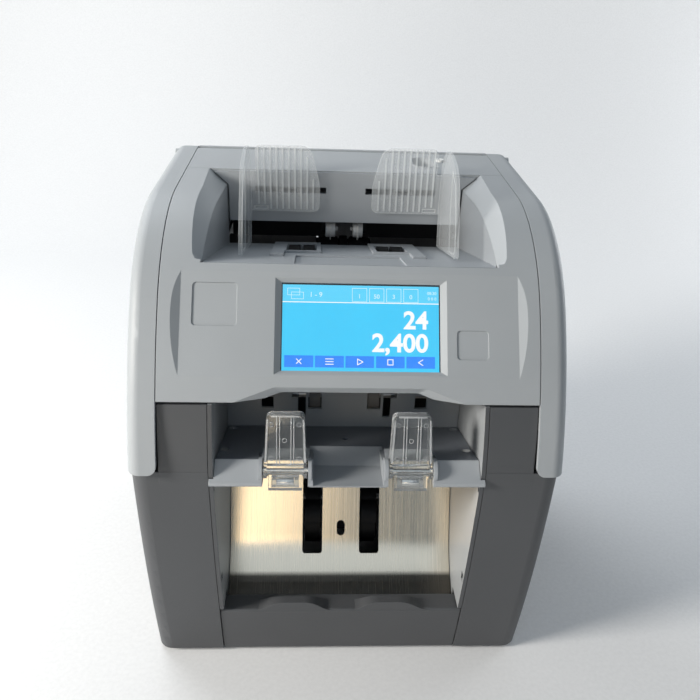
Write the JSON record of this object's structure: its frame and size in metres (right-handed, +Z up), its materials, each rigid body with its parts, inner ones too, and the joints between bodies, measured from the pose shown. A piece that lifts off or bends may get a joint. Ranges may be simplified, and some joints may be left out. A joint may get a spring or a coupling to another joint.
{
  "type": "banknote counting machine",
  "caption": "Desktop banknote counter with a top feed hopper, tilted colour screen, upper reject pocket with hinged clear stops, and a lower steel-backed stacker pocket.",
  "frame": {"origin": "centre of the overall footprint, on the plane the feet stand on", "axes": "+X to the right as seen from the front, +Y to the rear, +Z up"},
  "size_m": [0.298, 0.2798, 0.3833],
  "materials": {
    "light_shell": "fine textured silver grey",
    "light_inner": "satin silver grey",
    "dark_base": "fine textured dark grey",
    "dark_plate": "satin dark grey",
    "chute_steel": "vertical brushed",
    "clear_lever": "clear moulded",
    "frosted_guide": "frosted clear",
    "screen_glass": "clear cover",
    "screen": "lit display",
    "black_rubber": "matt",
    "black_plastic": "matt",
    "bright_steel": "bright",
    "shaft_steel": "turned",
    "plated_sheet": "zinc plated",
    "motor_case": "black",
    "board": "solder mask",
    "white_knob": "satin white"
  },
  "bodies": {
    "chassis": {"base_cover_left": "dark_base", "base_cover_right": "dark_base", "base_plate": "plated_sheet", "bearings": "bright_steel", "control_panel": "light_shell", "display_module": "screen", "diverter_solenoid": "motor_case", "feed_tray": "light_inner", "feet": "black_rubber", "frame_plate_left": "plated_sheet", "frame_plate_right": "plated_sheet", "front_lip": "dark_base", "hinge_pins": "bright_steel", "interface_ports": "bright_steel", "main_belt": "black_rubber", "main_board": "board", "main_motor": "motor_case", "note_sensors": "black_plastic", "path_guide": "plated_sheet", "pocket_wall_left": "light_inner", "pocket_wall_right": "light_inner", "power_inlet": "black_plastic", "power_supply": "plated_sheet", "rear_panel": "dark_base", "reject_back_wall": "light_inner", "reject_floor_plate": "dark_plate", "reject_shelf": "light_inner", "screws": "bright_steel", "side_cover_left": "light_shell", "side_cover_right": "light_shell", "stacker_chute": "chute_steel", "stacker_motor": "motor_case", "touch_glass": "screen_glass"},
    "top_lid": {"top_cover": "light_shell", "hopper_back_plate": "light_inner", "separator_bracket": "black_plastic"},
    "guide_left": {"note_guide_left": "frosted_guide"},
    "guide_right": {"note_guide_right": "frosted_guide"},
    "gap_knob": {"feed_gap_knob": "white_knob"},
    "retard": {"retard_rollers": "bright_steel"},
    "back_door": {"rear_door": "light_shell"},
    "stop_left": {"reject_stop_left": "clear_lever"},
    "stop_right": {"reject_stop_right": "clear_lever"},
    "pickup": {"pickup_shaft": "shaft_steel", "pickup_rollers": "black_rubber"},
    "feed": {"feed_shaft": "shaft_steel", "feed_rollers": "black_rubber"},
    "upper_transport": {"upper_transport_shaft": "shaft_steel", "upper_transport_rollers": "black_rubber"},
    "lower_transport": {"lower_transport_shaft": "shaft_steel", "lower_transport_rollers": "black_rubber"},
    "idler_upper": {"upper_idler": "shaft_steel"},
    "idler_lower": {"lower_idler": "shaft_steel"},
    "reject_exit": {"exit_shaft": "shaft_steel", "exit_rollers": "black_rubber"},
    "stacker": {"stacker_shaft": "shaft_steel", "stacker_wheels": "black_plastic"},
    "motor_drive": {"main_motor_pulley": "shaft_steel"},
    "gate": {"diverter_gate": "black_plastic"},
    "switch": {"power_switch": "black_plastic"}
  },
  "joints": [
    {"name": "top_cover_hinge", "type": "hinge", "parent": "chassis", "child": "top_lid", "pos_m": [0, 0.1142, 0.35796], "axis": [-1, 0, 0], "range_deg": [0, 75]},
    {"name": "rear_door_hinge", "type": "hinge", "parent": "chassis", "child": "back_door", "pos_m": [0, 0.13, 0.208], "axis": [-1, 0, 0], "range_deg": [0, 80]},
    {"name": "left_guide_slide", "type": "slide", "parent": "top_lid", "child": "guide_left", "axis": [-1, 0, 0], "range_m": [-0.02, 0.013]},
    {"name": "right_guide_slide", "type": "slide", "parent": "top_lid", "child": "guide_right", "axis": [1, 0, 0], "range_m": [-0.02, 0.013]},
    {"name": "gap_knob_turn", "type": "hinge", "parent": "top_lid", "child": "gap_knob", "pos_m": [0.082, 0.093, 0.36], "axis": [0, 0, 1], "range_deg": [-150, 150]},
    {"name": "left_stop_hinge", "type": "hinge", "parent": "chassis", "child": "stop_left", "pos_m": [-0.0432, -0.1286, 0.1966], "axis": [1, 0, 0], "range_deg": [0, 75], "stiffness_Nm_per_rad": 0.02, "springref_deg": -20.05},
    {"name": "right_stop_hinge", "type": "hinge", "parent": "chassis", "child": "stop_right", "pos_m": [0.0432, -0.1286, 0.1966], "axis": [1, 0, 0], "range_deg": [0, 75], "stiffness_Nm_per_rad": 0.02, "springref_deg": -20.05},
    {"name": "upper_transport_spin", "type": "hinge", "parent": "chassis", "child": "upper_transport", "pos_m": [0, 0.084, 0.236], "axis": [1, 0, 0], "continuous": true},
    {"name": "lower_transport_spin", "type": "hinge", "parent": "chassis", "child": "lower_transport", "pos_m": [0, 0.084, 0.172], "axis": [1, 0, 0], "continuous": true},
    {"name": "feed_spin", "type": "hinge", "parent": "chassis", "child": "feed", "pos_m": [0, 0.07, 0.283], "axis": [1, 0, 0], "continuous": true},
    {"name": "pickup_spin", "type": "hinge", "parent": "chassis", "child": "pickup", "pos_m": [0, 0.017, 0.2881], "axis": [1, 0, 0], "continuous": true},
    {"name": "exit_spin", "type": "hinge", "parent": "chassis", "child": "reject_exit", "pos_m": [0, -0.036, 0.203], "axis": [1, 0, 0], "continuous": true},
    {"name": "main_motor_spin", "type": "hinge", "parent": "chassis", "child": "motor_drive", "pos_m": [0, 0.04, 0.06], "axis": [1, 0, 0], "continuous": true},
    {"name": "upper_idler_spin", "type": "hinge", "parent": "chassis", "child": "idler_upper", "pos_m": [0, 0.1089, 0.236], "axis": [1, 0, 0], "continuous": true},
    {"name": "lower_idler_spin", "type": "hinge", "parent": "chassis", "child": "idler_lower", "pos_m": [0, 0.1089, 0.172], "axis": [1, 0, 0], "continuous": true},
    {"name": "retard_spin", "type": "hinge", "parent": "top_lid", "child": "retard", "pos_m": [0, 0.0645, 0.3083], "axis": [1, 0, 0], "continuous": true},
    {"name": "stacker_spin", "type": "hinge", "parent": "chassis", "child": "stacker", "pos_m": [0, -0.022, 0.088], "axis": [1, 0, 0], "continuous": true},
    {"name": "diverter_swing", "type": "hinge", "parent": "chassis", "child": "gate", "pos_m": [0, -0.012, 0.196], "axis": [1, 0, 0], "range_deg": [0, 12], "stiffness_Nm_per_rad": 0.05, "springref_deg": -6.88},
    {"name": "power_rocker", "type": "hinge", "parent": "chassis", "child": "switch", "pos_m": [0.07, 0.13447, 0.042], "axis": [1, 0, 0], "range_deg": [-14, 0]}
  ],
  "couplings": [
    {"joint": "lower_transport_spin", "follows": "upper_transport_spin", "ratio": 1},
    {"joint": "feed_spin", "follows": "upper_transport_spin", "ratio": 1},
    {"joint": "pickup_spin", "follows": "upper_transport_spin", "ratio": 1},
    {"joint": "exit_spin", "follows": "upper_transport_spin", "ratio": 1.3333},
    {"joint": "main_motor_spin", "follows": "upper_transport_spin", "ratio": 1.5},
    {"joint": "upper_idler_spin", "follows": "upper_transport_spin", "ratio": -2.2667},
    {"joint": "lower_idler_spin", "follows": "upper_transport_spin", "ratio": -2.2667}
  ]
}
